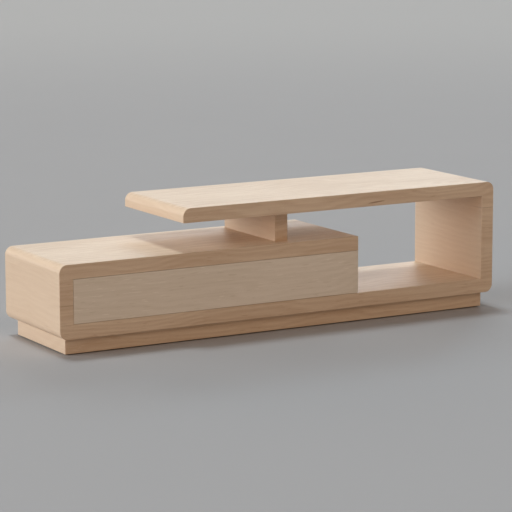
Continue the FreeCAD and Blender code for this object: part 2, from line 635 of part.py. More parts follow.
def latch(x):
    """One push latch on the base: housing, plunger and spring, with the strike plate on the drawer."""
    axis_start = Vector(x, HOUSING_FRONT - PAST, LATCH_Z)
    half = LATCH_WIDTH / 2
    block = box(x - half, x + half, HOUSING_FRONT, HOUSING_BACK, BASE_TOP, LATCH_Z + LATCH_CROWN)
    ear_middle = (HOUSING_FRONT + HOUSING_BACK) / 2
    ears = box(
        x - LATCH_EAR_SPAN / 2,
        x + LATCH_EAR_SPAN / 2,
        ear_middle - LATCH_EAR_LENGTH / 2,
        ear_middle + LATCH_EAR_LENGTH / 2,
        BASE_TOP,
        BASE_TOP + LATCH_EAR_THICKNESS,
    )
    bore_depth = LATCH_LENGTH - LATCH_END_WALL
    bore = rod(axis_start, BACKWARD, PLUNGER_DIAMETER + 2 * PLUNGER_CLEARANCE, bore_depth + PAST)
    ear_top = BASE_TOP + LATCH_EAR_THICKNESS
    offsets = (-LATCH_SCREW_SPACING / 2, LATCH_SCREW_SPACING / 2)
    seats = [Vector(x + offset, ear_middle, ear_top) for offset in offsets]
    holes = screw_holes(seats, DOWN, LATCH_SCREW_DIAMETER, LATCH_SCREW_LENGTH)
    housing = trimmed(block.fuse(ears).removeSplitter(), [bore] + holes)

    plunger_length = PLUNGER_REACH + PLUNGER_GUIDE
    plunger = rod(Vector(x, PLUNGER_TIP, LATCH_Z), BACKWARD, PLUNGER_DIAMETER, plunger_length)

    spring_start = PLUNGER_TIP + plunger_length + SPRING_WIRE / 2 + SPRING_END_GAP
    spring_end = HOUSING_FRONT + bore_depth - SPRING_WIRE / 2 - SPRING_END_GAP
    pitch = (spring_end - spring_start) / SPRING_TURNS
    path, first, direction = coil_path(Vector(x, spring_start, LATCH_Z), SPRING_DIAMETER, pitch, SPRING_TURNS)
    section = Part.Wire(Part.makeCircle(SPRING_WIRE / 2, first, direction))
    shell = Part.BRepOffsetAPI.MakePipeShell(path)
    shell.add(section)
    shell.build()
    shell.makeSolid()
    spring = shell.shape()

    strike_half = STRIKE_WIDTH / 2
    strike = box(
        x - strike_half,
        x + strike_half,
        BOX_BACK,
        BOX_BACK + STRIKE_THICKNESS,
        LATCH_Z - STRIKE_HEIGHT / 2,
        LATCH_Z + STRIKE_HEIGHT / 2,
    )
    strike_offsets = (-STRIKE_SCREW_SPACING / 2, STRIKE_SCREW_SPACING / 2)
    strike_seats = [Vector(x + offset, BOX_BACK + STRIKE_THICKNESS, LATCH_Z) for offset in strike_offsets]
    strike_holes = screw_holes(strike_seats, FORWARD, STRIKE_SCREW_DIAMETER, STRIKE_SCREW_LENGTH)
    return {
        "housing": housing,
        "plunger": plunger,
        "spring": spring,
        "strike": trimmed(strike, strike_holes),
        "screws": screws_at(seats, DOWN, LATCH_SCREW_DIAMETER, LATCH_SCREW_LENGTH, SMALL_HEAD),
        "holes": holes,
        "strike_screws": screws_at(
            strike_seats, FORWARD, STRIKE_SCREW_DIAMETER, STRIKE_SCREW_LENGTH, SMALL_HEAD
        ),
        "strike_holes": strike_holes,
        "coil_gap": pitch - SPRING_WIRE,
    }


def boards(block, rebate, holes):
    """The thick boards cut out of the glued-up block, and the two boards set behind its front."""
    far = LENGTH
    base = block.common(box(-far, far, -far, far, PLINTH_HEIGHT, BASE_TOP))
    left = block.common(box(-far, LEFT_INNER, -far, far, BASE_TOP, CEILING))
    cabinet_top = block.common(box(-far, CABINET_RIGHT, -far, far, CEILING, CABINET_TOP))
    right = block.common(box(RIGHT_INNER, far, -far, far, BASE_TOP, SHELF_BOTTOM))
    shelf = block.common(box(-far, far, -far, far, SHELF_BOTTOM, TOP))
    support = box(
        SUPPORT_LEFT,
        SUPPORT_RIGHT,
        FRONT + SUPPORT_FRONT_SETBACK,
        BACK - SUPPORT_BACK_SETBACK,
        CABINET_TOP,
        SHELF_BOTTOM,
    )
    uprights = [e for e in support.Edges if e.BoundBox.ZLength > SLOT_HEIGHT / 2]
    cabinet_end = box(
        CABINET_INNER, CABINET_RIGHT, FRONT + FRONT_THICKNESS + PUSH_GAP, BACK, BASE_TOP, CEILING
    )
    shapes = {
        "base_panel": base,
        "left_side_panel": left,
        "cabinet_top_panel": cabinet_top,
        "right_side_panel": right,
        "top_shelf": shelf,
        "shelf_support": support.makeFillet(ARRIS, uprights),
        "cabinet_end_panel": cabinet_end,
    }
    return {name: [trimmed(shape.Solids[0], [rebate] + holes)] for name, shape in shapes.items()}


def build():
    """Every node of the stand by name, each a list of solids."""
    dowels, dowel_holes = dowel_joints()
    back, rebate, back_screws, back_holes = back_panel()
    plinth_nodes, plinth_holes = plinth()
    drawer = drawer_box()
    left = slide("left", LEFT_INNER, 1)
    right = slide("right", CABINET_INNER, -1)
    latches = dict(zip(("left", "right"), map(latch, LATCH_XS)))

    holes = dowel_holes + back_holes + plinth_holes + left.cabinet_holes + right.cabinet_holes
    holes += [hole for made in latches.values() for hole in made["holes"]]
    strike_holes = [hole for made in latches.values() for hole in made["strike_holes"]]
    for name, cuts in (
        ("drawer_left_side", left.drawer_holes),
        ("drawer_right_side", right.drawer_holes),
        ("drawer_back", strike_holes),
    ):
        drawer[name] = [trimmed(drawer[name][0], cuts)]

    nodes = boards(eased_carcass(), rebate, holes)
    nodes["cabinet_back_panel"] = [back]
    nodes["back_panel_screws"] = back_screws
    nodes.update(plinth_nodes)
    nodes.update(dowels)
    nodes.update(drawer)
    nodes.update(left.nodes)
    nodes.update(right.nodes)
    nodes["slide_cabinet_screws"] = left.cabinet_screws + right.cabinet_screws
    nodes["slide_drawer_screws"] = left.drawer_screws + right.drawer_screws
    for side, made in latches.items():
        for piece in ("housing", "plunger", "spring"):
            nodes[f"{side}_latch_{piece}"] = [made[piece]]
        print(f"{side} latch spring: least gap between turns {made['coil_gap']:.2f} mm")
    nodes["latch_screws"] = [s for made in latches.values() for s in made["screws"]]
    nodes["latch_strike_plates"] = [made["strike"] for made in latches.values()]
    nodes["strike_plate_screws"] = [s for made in latches.values() for s in made["strike_screws"]]
    return nodes


def export(nodes):
    """Writes each node to parts/NODE.step."""
    os.makedirs("parts", exist_ok=True)
    for name, solids in nodes.items():
        shape = solids[0] if len(solids) == 1 else Part.makeCompound(solids)
        shape.exportStep(os.path.join("parts", f"{name}.step"))


if __name__ == "__main__":
    export(build())
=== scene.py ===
"""Looks of a low TV stand: thick pale boards, a push-open drawer and its hardware, in a grey studio."""

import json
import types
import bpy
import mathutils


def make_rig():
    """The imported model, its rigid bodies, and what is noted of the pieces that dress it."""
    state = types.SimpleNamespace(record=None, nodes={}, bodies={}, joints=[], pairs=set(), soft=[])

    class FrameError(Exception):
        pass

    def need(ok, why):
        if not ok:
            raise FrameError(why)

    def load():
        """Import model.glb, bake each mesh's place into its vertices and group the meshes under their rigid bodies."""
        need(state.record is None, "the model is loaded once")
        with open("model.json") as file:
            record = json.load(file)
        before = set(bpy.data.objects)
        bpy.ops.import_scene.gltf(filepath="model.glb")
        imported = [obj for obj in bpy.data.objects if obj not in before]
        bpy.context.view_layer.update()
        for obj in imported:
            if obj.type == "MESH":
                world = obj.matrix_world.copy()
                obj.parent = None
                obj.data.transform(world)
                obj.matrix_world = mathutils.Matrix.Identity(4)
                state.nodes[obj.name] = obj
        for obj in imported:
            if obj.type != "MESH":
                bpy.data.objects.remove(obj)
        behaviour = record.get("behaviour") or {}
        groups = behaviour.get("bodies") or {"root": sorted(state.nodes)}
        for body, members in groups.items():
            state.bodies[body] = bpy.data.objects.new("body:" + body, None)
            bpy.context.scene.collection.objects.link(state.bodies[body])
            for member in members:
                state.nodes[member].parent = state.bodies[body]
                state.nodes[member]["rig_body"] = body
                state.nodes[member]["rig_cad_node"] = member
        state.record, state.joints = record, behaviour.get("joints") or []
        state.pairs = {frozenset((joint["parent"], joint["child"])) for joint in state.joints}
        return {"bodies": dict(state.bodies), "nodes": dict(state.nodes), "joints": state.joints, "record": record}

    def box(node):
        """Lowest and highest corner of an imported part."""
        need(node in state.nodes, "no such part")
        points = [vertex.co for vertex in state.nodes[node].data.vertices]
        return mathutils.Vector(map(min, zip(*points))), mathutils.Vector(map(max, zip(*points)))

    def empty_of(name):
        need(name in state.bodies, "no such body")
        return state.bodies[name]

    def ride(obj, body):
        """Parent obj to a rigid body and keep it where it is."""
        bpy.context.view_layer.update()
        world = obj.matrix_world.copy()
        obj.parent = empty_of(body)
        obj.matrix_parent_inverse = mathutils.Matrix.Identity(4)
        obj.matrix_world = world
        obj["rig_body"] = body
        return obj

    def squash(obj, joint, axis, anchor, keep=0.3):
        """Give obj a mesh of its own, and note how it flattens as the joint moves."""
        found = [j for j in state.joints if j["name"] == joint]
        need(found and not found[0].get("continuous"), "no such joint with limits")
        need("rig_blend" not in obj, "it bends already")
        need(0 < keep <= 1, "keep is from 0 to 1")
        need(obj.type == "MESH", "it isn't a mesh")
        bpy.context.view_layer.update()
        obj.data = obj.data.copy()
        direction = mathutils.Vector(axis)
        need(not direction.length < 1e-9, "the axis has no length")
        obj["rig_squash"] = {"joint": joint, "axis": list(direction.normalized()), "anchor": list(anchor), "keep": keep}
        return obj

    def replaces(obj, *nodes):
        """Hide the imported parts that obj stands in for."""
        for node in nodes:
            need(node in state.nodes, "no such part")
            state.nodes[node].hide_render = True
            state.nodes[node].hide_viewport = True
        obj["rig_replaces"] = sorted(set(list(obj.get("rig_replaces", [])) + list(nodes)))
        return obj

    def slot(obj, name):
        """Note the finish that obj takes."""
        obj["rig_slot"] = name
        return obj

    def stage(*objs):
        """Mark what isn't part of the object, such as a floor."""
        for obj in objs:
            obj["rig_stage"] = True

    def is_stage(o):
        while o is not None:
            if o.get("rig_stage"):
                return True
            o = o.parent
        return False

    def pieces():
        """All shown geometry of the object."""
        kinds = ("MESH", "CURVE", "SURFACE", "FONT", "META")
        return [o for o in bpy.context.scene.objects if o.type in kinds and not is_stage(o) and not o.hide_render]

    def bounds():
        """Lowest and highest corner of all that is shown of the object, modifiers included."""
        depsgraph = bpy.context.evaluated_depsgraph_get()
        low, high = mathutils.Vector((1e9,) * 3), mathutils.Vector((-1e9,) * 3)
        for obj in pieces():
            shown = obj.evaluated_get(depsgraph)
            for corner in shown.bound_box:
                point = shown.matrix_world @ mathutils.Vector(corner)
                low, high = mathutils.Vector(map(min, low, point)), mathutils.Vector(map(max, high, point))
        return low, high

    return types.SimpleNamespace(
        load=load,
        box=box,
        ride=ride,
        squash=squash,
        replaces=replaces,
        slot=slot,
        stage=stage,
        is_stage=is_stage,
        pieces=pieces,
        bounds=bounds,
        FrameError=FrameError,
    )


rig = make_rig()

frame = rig.load()

import json
import logging
import math
from dataclasses import dataclass, field, replace
from enum import Enum
from typing import Any, Callable, Iterable, Optional, Sequence, Union

import bmesh
import bpy
from mathutils import Matrix, Vector

LOG = logging.getLogger("tv_stand")
CAD_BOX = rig.bounds()
SIZE_FILE = "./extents.json"
TOUCH = 0.0001  # faces closer than this touch, in metres
MERGE = TOUCH / 10  # corners of a CAD copy closer than this are one, in metres
PLACE_DIGITS = 5  # decimals that tell two places in metres apart
FLAT_ANGLE = math.radians(1)  # triangles of a CAD copy that turn less than this are one face
SHARP_ANGLE = math.radians(20)  # edges that turn more than this are real edges
SMOOTH_ANGLE = math.radians(40)  # shading stays smooth over smaller turns
ARC_PROFILE = 0.5  # profile of a bevel that is an arc
FACE_WEIGHT = 100  # the largest faces set the shading of the rounds beside them
EDGE_WEIGHT = "bevel_weight_edge"  # where the bevel modifier looks for each edge's share of its width
NOISE_MIDDLE = 0.5  # noise lies about this
MIX_SHARE = 0  # inputs of a Mix node that mixes colours, which share their names with others
MIX_FIRST = 6
MIX_SECOND = 7
MIX_RESULT = 2  # output of that node
MILLIMETRES = 1000  # in a metre
LEVEL = 90  # degrees that tip a camera up from straight down to level

Colour = tuple[float, float, float]  # red, green and blue
Place = tuple[float, float, float]  # x, y and z, in metres
Limits = tuple[float, float]  # where a smooth step starts and where it is full
Operand = Union["Value", float]
Edge = bmesh.types.BMEdge


class Axis(Enum):
    """Axis of the stand: along it, front to back, or up."""

    X = 0
    Y = 1
    Z = 2

    @property
    def unit(self) -> Vector:
        """Unit vector along the axis."""
        return Vector([1.0 if i == self.value else 0.0 for i in range(3)])


def srgb(tint: Colour, share: float = 1.0) -> tuple[float, float, float, float]:
    """Turns a screen colour into the linear colour that shaders take.

    Args:
        tint: Channels from 0 to 255.
        share: Factor on the channels, below 1 for a darker shade.

    Returns:
        Linear red, green, blue and an alpha of 1.
    """

    def linear(channel: float) -> float:
        """Linear value of a channel from 0 to 1, by the sRGB curve."""
        return channel / 12.92 if channel <= 0.04045 else ((channel + 0.055) / 1.055) ** 2.4

    red, green, blue = [linear(channel * share / 255) for channel in tint]
    return red, green, blue, 1.0


class Value:
    """A socket of a material, with Python's operators for the maths that its nodes do."""

    def __init__(self, shader: "Shader", socket: bpy.types.NodeSocket) -> None:
        """Wraps an output socket of a shader."""
        self.shader = shader
        self.socket = socket

    def math(self, operation: str, *others: Operand, first: Optional[float] = None) -> "Value":
        """Adds a Math node.

        Args:
            operation: Blender's name of the operation.
            others: The operands after this value.
            first: Operand before this value, for the reflected operators.

        Returns:
            The node's result.
        """
        operands = [self, *others] if first is None else [first, self]
        return self.shader.node("ShaderNodeMath", {"operation": operation}, dict(enumerate(operands)))

    def __add__(self, other: Operand) -> "Value":
        """Sum."""
        return self.math("ADD", other)

    def __radd__(self, other: float) -> "Value":
        """Sum, with the number first."""
        return self.math("ADD", first=other)

    def __sub__(self, other: Operand) -> "Value":
        """Difference."""
        return self.math("SUBTRACT", other)

    def __rsub__(self, other: float) -> "Value":
        """Difference, with the number first."""
        return self.math("SUBTRACT", first=other)

    def __mul__(self, other: Operand) -> "Value":
        """Product."""
        return self.math("MULTIPLY", other)

    def __rmul__(self, other: float) -> "Value":
        """Product, with the number first."""
        return self.math("MULTIPLY", first=other)

    def __truediv__(self, other: Operand) -> "Value":
        """Quotient."""
        return self.math("DIVIDE", other)

    def __rtruediv__(self, other: float) -> "Value":
        """Quotient, with the number first."""
        return self.math("DIVIDE", first=other)

    def __abs__(self) -> "Value":
        """Size without sign."""
        return self.math("ABSOLUTE")

    def sine(self) -> "Value":
        """Sine of an angle in radians."""
        return self.math("SINE")

    def cosine(self) -> "Value":
        """Cosine of an angle in radians."""
        return self.math("COSINE")

    def centred(self) -> "Value":
        """Noise moved so that it lies about 0."""
        return self - NOISE_MIDDLE

    def between(self, low: float, high: float) -> "Value":
        """Smooth step from 0 at low to 1 at high."""
        inputs = {"Value": self, "From Min": low, "From Max": high}
        return self.shader.node("ShaderNodeMapRange", {"interpolation_type": "SMOOTHSTEP"}, inputs)


class Shader:
    """Node tree of one material, built node by node."""

    def __init__(self, name: str) -> None:
        """Starts an empty tree.

        Args:
            name: Name of the material.
        """
        self.material = bpy.data.materials.new(name)
        self.material.use_nodes = True
        self.tree = self.material.node_tree
        self.tree.nodes.clear()

    def node(
        self,
        kind: str,
        settings: Optional[dict[str, Any]] = None,
        inputs: Optional[dict[Union[str, int], Any]] = None,
        output: Union[str, int] = 0,
    ) -> Value:
        """Adds a node.

        Args:
            kind: Blender's type name of the node.
            settings: Attributes that are set first.
            inputs: Socket names or numbers, with a value or a link for each.
            output: Name or number of the socket to return.

        Returns:
            The chosen output.
        """
        made = self.tree.nodes.new(kind)
        for key, setting in (settings or {}).items():
            setattr(made, key, setting)
        for key, given in (inputs or {}).items():
            if isinstance(given, Value):
                self.tree.links.new(given.socket, made.inputs[key])
            else:
                made.inputs[key].default_value = given
        return Value(self, made.outputs[output])

    def place(self) -> Value:
        """Object coordinates, in metres in the stand's own frame."""
        return self.node("ShaderNodeTexCoord", output="Object")

    def normal(self) -> Value:
        """Direction that the surface faces."""
        return self.node("ShaderNodeNewGeometry", output="Normal")

    def scaled(self, point: Value, factors: Sequence[float]) -> Value:
        """Vector with its parts multiplied by factors."""
        return self.node("ShaderNodeVectorMath", {"operation": "MULTIPLY"}, {0: point, 1: factors})

    def shifted(self, point: Value, offset: Sequence[float]) -> Value:
        """Vector moved by an offset."""
        return self.node("ShaderNodeVectorMath", {"operation": "ADD"}, {0: point, 1: offset})

    def along(self, point: Value, direction: Sequence[float]) -> Value:
        """Length of a vector along a direction."""
        settings = {"operation": "DOT_PRODUCT"}
        return self.node("ShaderNodeVectorMath", settings, {0: point, 1: direction}, "Value")

    def length(self, point: Value) -> Value:
        """Length of a vector."""
        return self.node("ShaderNodeVectorMath", {"operation": "LENGTH"}, {0: point}, "Value")

    def mix(self, share: Value, first: Any, second: Any) -> Value:
        """Colour between two colours, each a value or a fixed colour."""
        inputs = {MIX_SHARE: share, MIX_FIRST: first, MIX_SECOND: second}
        return self.node("ShaderNodeMix", {"data_type": "RGBA"}, inputs, MIX_RESULT)

    def surface(
        self,
        height: Optional[Value] = None,
        depth: float = 0.0,
        **inputs: Any,
    ) -> bpy.types.Material:
        """Ends the tree with a surface.

        Args:
            height: Relief from 0 to 1, for the bump.
            depth: How deep the relief is, in metres.
            inputs: Sockets of the surface, with underscores for the spaces in their names.

        Returns:
            The finished material.
        """
        named = {key.replace("_", " "): given for key, given in inputs.items()}
        if height is not None:
            bump = {"Height": height, "Distance": depth, "Strength": 1.0}
            named["Normal"] = self.node("ShaderNodeBump", inputs=bump)
        shading = self.node("ShaderNodeBsdfPrincipled", inputs=named)
        ending = self.tree.nodes.new("ShaderNodeOutputMaterial")
        self.tree.links.new(shading.socket, ending.inputs["Surface"])
        return self.material


@dataclass(frozen=True)
class Noise:
    """Soft random pattern, drawn out along one axis or even in all directions."""

    along: float  # changes per metre along the axis
    across: float  # changes per metre across it
    detail: float  # finer layers on top of the first
    rough: float = 0.5  # strength of each finer layer

    def at(self, point: Value, run: Axis = Axis.X) -> Value:
        """Reads the pattern.

        Args:
            point: Place to read it at.
            run: Axis that it is drawn out along.

        Returns:
            A number from 0 to 1.
        """
        shader = point.shader
        factors = [self.along if axis is run else self.across for axis in Axis]
        inputs = {
            "Vector": shader.scaled(point, factors),
            "Scale": 1.0,
            "Detail": self.detail,
            "Roughness": self.rough,
        }
        return shader.node("ShaderNodeTexNoise", inputs=inputs)


@dataclass(frozen=True)
class Mark:
    """Dark mineral streak in a board: a flat lens shape in the wood."""

    centre: Place  # from the board's lower front left corner
    half: Place  # half lengths along the three axes
    rise: float = 0.0  # slope along the board
    depth: float = 0.85  # share of the streak's own colour at its heart
    fade: Limits = (0.1, 1.0)  # where the streak fades, as squared shares of its half lengths

    def on(self, corner: Vector) -> "Mark":
        """The same streak with its centre in the stand's frame, on a board with this corner."""
        return replace(self, centre=tuple(corner + Vector(self.centre)))

    def shade(self, point: Value) -> Value:
        """Share of the streak's own colour at a point of the wood.

        Args:
            point: Place in the frame that the streak's centre is in.

        Returns:
            A number from 0 outside the streak to its depth.
        """
        shader = point.shader
        half_along, half_deep, half_across = self.half
        beside = shader.shifted(point, [-part for part in self.centre])
        along = shader.along(beside, Axis.X.unit) / half_along
        deep = shader.along(beside, Axis.Y.unit) / half_deep
        across = shader.along(beside, (-self.rise, 0.0, 1.0)) / half_across
        reach = along * along + deep * deep + across * across
        return (1.0 - reach.between(*self.fade)) * self.depth


@dataclass(frozen=True)
class Wood:
    """Lacquered straight-grained wood: grain runs along the stand, and front to back on its end faces."""

    name: str
    pale: Colour
    deep: Colour
    mineral: Colour = (157, 122, 94)  # of the dark mineral streaks
    mean_tone: float = 0.5  # from 0, deep, to 1, pale
    fibre: float = 0.75  # share of the fine streaks in the tone
    figure: float = 0.2  # share of the growth bands
    cloud: float = 0.7  # share of the broad drift
    dash: float = 0.34  # depth of the short dark streaks
    fleck: float = 0.24  # strength of the short pale streaks
    pore: float = 0.3  # depth of the fine pores
    end_contrast: float = 0.36  # contrast of the end faces against the long faces
    roughness: float = 0.42
    gloss_change: float = 0.16  # how much smoother the high fibres are
    lacquer_ior: float = 1.4
    ring_pitch: float = 0.019  # growth bands, in metres
    ring_tilt: tuple[float, float] = (0.6, 0.8)  # sideways and upward parts of the direction across them
    ring_sway: float = 46.0  # how far the broad drift bends them, in radians
    ring_wobble: float = 2.0  # how far the fibres bend them, in radians
    relief_depth: float = 0.0001  # fibres and pores, in metres
    pore_relief: float = 0.5  # depth of the pores against the fibres
    fibres: Noise = Noise(2.4, 150.0, 5.0, 0.62)
    drift: Noise = Noise(2.2, 7.0, 2.0)
    streaks: Noise = Noise(20.0, 190.0, 1.0, 0.4)
    pores: Noise = Noise(260.0, 2600.0, 0.0)
    dark_streaks: Limits = (0.66, 0.76)  # in the streaks' noise
    pale_streaks: Limits = (0.67, 0.77)  # in the same noise, counted down from 1
    open_pores: Limits = (0.62, 0.74)  # in the pores' noise
    end_face: Limits = (0.45, 0.8)  # in the part of the normal that points along the stand

    def grain(self, point: Value, run: Axis) -> tuple[Value, Value]:
        """Tone and fine relief of grain that runs along one axis.

        Args:
            point: Place in the wood.
            run: Axis that the grain runs along.

        Returns:
            Tone about 0, and relief from 0 to 1.
        """
        fibre = self.fibres.at(point, run)
        cloud = self.drift.at(point, run)
        streak = self.streaks.at(point, run)
        pores = self.pores.at(point, run).between(*self.open_pores)
        side, up = self.ring_tilt
        tilt = (0.0, side, up) if run is Axis.X else (side, 0.0, up)
        turns = point.shader.along(point, tilt) * (2 * math.pi / self.ring_pitch)
        bands = (turns + cloud * self.ring_sway + fibre * self.ring_wobble).sine()
        dark = streak.between(*self.dark_streaks) * self.dash + pores * self.pore
        bright = (1.0 - streak).between(*self.pale_streaks) * self.fleck
        tone = fibre.centred() * self.fibre + bands * (self.figure / 2) + cloud.centred() * self.cloud
        return tone - dark + bright, fibre - pores * self.pore_relief

    def material(
        self,
        board: str,
        offset: Sequence[float] = (0.0, 0.0, 0.0),
        marks: Iterable[Mark] = (),
    ) -> bpy.types.Material:
        """Material of one board.

        Args:
            board: Name of the board.
            offset: Where in the log the board was cut, in metres.
            marks: Dark streaks in the board, in the stand's frame.

        Returns:
            The board's material.
        """
        shader = Shader(f"{self.name}_{board}")
        place = shader.place()
        point = shader.shifted(place, offset)
        end = abs(shader.along(shader.normal(), Axis.X.unit)).between(*self.end_face)
        long_tone, long_relief = self.grain(point, Axis.X)
        end_tone, end_relief = self.grain(point, Axis.Y)
        tone = self.mean_tone + long_tone + (end_tone * self.end_contrast - long_tone) * end
        relief = long_relief + (end_relief - long_relief) * end
        colour = shader.mix(tone.between(0.0, 1.0), srgb(self.deep), srgb(self.pale))
        for mark in marks:
            colour = shader.mix(mark.shade(place), colour, srgb(self.mineral))
        return shader.surface(
            relief,
            self.relief_depth,
            Base_Color=colour,
            Roughness=self.roughness - relief.centred() * self.gloss_change,
            IOR=self.lacquer_ior,
        )


@dataclass(frozen=True)
class Plywood:
    """Birch plywood: thin layers whose grain crosses, seen on its edges."""

    name: str
    face: Colour
    glue: Colour
    layer: float = 0.0015  # thickness of a layer, in metres
    mean_tone: float = 0.16  # of the faces, from 0, face, to 1, glue
    fibre: float = 0.5  # share of the fibres and of the drift in the tone
    cross: float = 0.5  # depth of the layers that show their ends
    roughness: float = 0.5
    gloss_change: float = 0.14  # how much smoother the high fibres are
    relief_depth: float = 0.0001  # fibres, in metres
    fibres: Noise = Noise(2.6, 130.0, 5.0, 0.6)
    drift: Noise = Noise(1.3, 9.0, 2.0)
    dots: Noise = Noise(900.0, 900.0, 1.0)  # ends of the cut fibres
    layer_step: Limits = (-0.2, 0.2)  # in the wave from layer to layer
    flat_face: Limits = (0.5, 0.8)  # in the part of the normal that points through the sheet

    def material(self, through: Axis, run: Axis, middle: float) -> bpy.types.Material:
        """Material of a sheet.

        Args:
            through: Axis through the sheet's thickness.
            run: Axis of the face veneer's grain.
            middle: Place of the sheet's middle along its thickness, in metres.

        Returns:
            The sheet's material.
        """
        shader = Shader(f"{self.name}_{through.name}{run.name}_{round(middle * MILLIMETRES)}")
        point = shader.place()
        fibre = self.fibres.at(point, run)
        cloud = self.drift.at(point, run)
        depth = shader.along(point, through.unit) - middle
        wave = (depth * (math.pi / self.layer)).cosine()
        face = abs(shader.along(shader.normal(), through.unit)).between(*self.flat_face)
        ends = (1.0 - wave.between(*self.layer_step)) * (1.0 - face)
        speckled = (1.0 + self.dots.at(point).centred()) * self.cross
        streaked = (fibre.centred() + cloud.centred()) * self.fibre
        tone = self.mean_tone - streaked + ends * speckled
        return shader.surface(
            fibre,
            self.relief_depth,
            Base_Color=shader.mix(tone.between(0.0, 1.0), srgb(self.face), srgb(self.glue)),
            Roughness=self.roughness - fibre.centred() * self.gloss_change,
        )


@dataclass(frozen=True)
class Metal:
    """Plated or polished steel with a drawn or rolled texture along one axis."""

    name: str
    tint: Colour
    roughness: float
    run: Axis = Axis.Y
    lines: float = 0.10  # how far the drawn lines and the bloom change the roughness
    depth: float = 0.000004  # drawn lines, in metres
    dull: float = 0.86  # brightness of the dull patches
    drawn: Noise = Noise(30.0, 1800.0, 3.0)
    bloom: Noise = Noise(120.0, 120.0, 3.0, 0.6)
    bright_patches: Limits = (0.3, 0.7)  # in the bloom's noise

    def material(self) -> bpy.types.Material:
        """Material of the metal.

        Returns:
            The material.
        """
        shader = Shader(self.name)
        point = shader.place()
        drawn = self.drawn.at(point, self.run)
        bloom = self.bloom.at(point)
        bright = bloom.between(*self.bright_patches)
        return shader.surface(
            drawn,
            self.depth,
            Base_Color=shader.mix(bright, srgb(self.tint, self.dull), srgb(self.tint)),
            Metallic=1.0,
            Roughness=self.roughness + (drawn.centred() + bloom.centred()) * self.lines,
        )


@dataclass(frozen=True)
class Plastic:
    """Moulded plastic with a fine spark-eroded grain."""

    name: str
    tint: Colour
    roughness: float = 0.5
    gloss_change: float = 0.2  # how much rougher the high grains are
    relief_depth: float = 0.00003  # grain, in metres
    shade: float = 0.93  # brightness of the darker flow marks
    pebble: Noise = Noise(1400.0, 1400.0, 2.0)
    flow: Noise = Noise(60.0, 60.0, 2.0)
    pale_flow: Limits = (0.3, 0.7)  # in the flow's noise

    def material(self) -> bpy.types.Material:
        """Material of the plastic.

        Returns:
            The material.
        """
        shader = Shader(self.name)
        point = shader.place()
        pebble = self.pebble.at(point)
        flow = self.flow.at(point).between(*self.pale_flow)
        return shader.surface(
            pebble,
            self.relief_depth,
            Base_Color=shader.mix(flow, srgb(self.tint, self.shade), srgb(self.tint)),
            Roughness=self.roughness + pebble.centred() * self.gloss_change,
        )


MAPLE = Wood("maple", pale=(228, 204, 178), deep=(202, 171, 142))
GREY_MAPLE = Wood(
    "grey_maple", pale=(236, 222, 206), deep=(217, 201, 181), fibre=0.6, figure=0.14, fleck=0.6
)
ROUGH_WOOD = Wood("rough_wood", pale=(200, 170, 130), deep=(170, 136, 98), roughness=0.62)
BEECH = Wood("beech", pale=(214, 178, 138), deep=(186, 146, 106), figure=0.06, dash=0.4, roughness=0.55)
BIRCH_PLY = Plywood("birch_ply", face=(218, 196, 164), glue=(150, 116, 80))
ZINC = Metal("zinc_plate", tint=(206, 209, 212), roughness=0.34)
CAGE_STRIP = Metal("cage_strip", tint=(180, 182, 184), roughness=0.28)
POLISHED = Metal("polished_ball", tint=(226, 227, 228), roughness=0.10, lines=0.02, depth=0.0)
SCREW_ZINC = Metal("screw_zinc", tint=(196, 199, 203), roughness=0.32, run=Axis.Z)
NICKEL = Metal("nickel_plate", tint=(198, 196, 190), roughness=0.26, run=Axis.X)
SPRING_WIRE = Metal("spring_wire", tint=(172, 174, 178), roughness=0.3)
GREY_PLASTIC = Plastic("grey_plastic", tint=(158, 158, 156))
WHITE_PLASTIC = Plastic("white_plastic", tint=(222, 222, 219), roughness=0.42)
BROWN_NYLON = Plastic("brown_nylon", tint=(96, 86, 77))


@dataclass(frozen=True)
class Log:
    """Log that boards are cut from, each at its own place, so that no two show the same grain."""

    start: Place = (0.0, 0.0, 0.0)
    step: Place = (0.0, 0.0, 0.0)  # from one board to the next

    def place(self, number: int = 0) -> list[float]:
        """Place of a board in the log, in metres."""
        return [start + step * number for start, step in zip(self.start, self.step)]


@dataclass(frozen=True)
class Span:
    """Box between two corners, square to the axes, in metres."""

    low: Vector
    high: Vector

    @classmethod
    def of(cls, node: str) -> "Span":
        """Box of a CAD node at rest."""
        return cls(*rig.box(node))

    @classmethod
    def round_points(cls, points: Sequence[Vector]) -> "Span":
        """Smallest box round some points."""
        return cls(Vector(map(min, *points)), Vector(map(max, *points)))

    @property
    def middle(self) -> Vector:
        """Centre of the box."""
        return (self.low + self.high) / 2

    @property
    def size(self) -> Vector:
        """Lengths of the box's sides."""
        return self.high - self.low

    def holds(self, point: Vector) -> bool:
        """Whether a point lies in the box or on it."""
        return all(self.low[i] - TOUCH <= point[i] <= self.high[i] + TOUCH for i in range(3))

    def contact(self, other: "Span") -> Optional["Span"]:
        """Finds where two boxes touch or overlap.

        Args:
            other: The other box.

        Returns:
            The box that they share, flat where they only touch, or nothing.
        """
        low = Vector(map(max, self.low, other.low))
        high = Vector(map(min, self.high, other.high))
        if any(high[i] < low[i] - TOUCH for i in range(3)):
            return None
        return Span.round_points([low, high])

    def grown(self, x: float = 0.0, y: float = 0.0, z: float = 0.0) -> "Span":
        """Box with its sides moved outwards."""
        step = Vector((x, y, z))
        return Span(self.low - step, self.high + step)


@dataclass(frozen=True)
class Round:
    """Rounded edge that runs front to back."""

    x: float
    z: float
    radius: float

    def takes(self, edge: Edge) -> bool:
        """Whether this is the edge to round."""
        return all(math.hypot(v.co.x - self.x, v.co.z - self.z) < TOUCH for v in edge.verts)


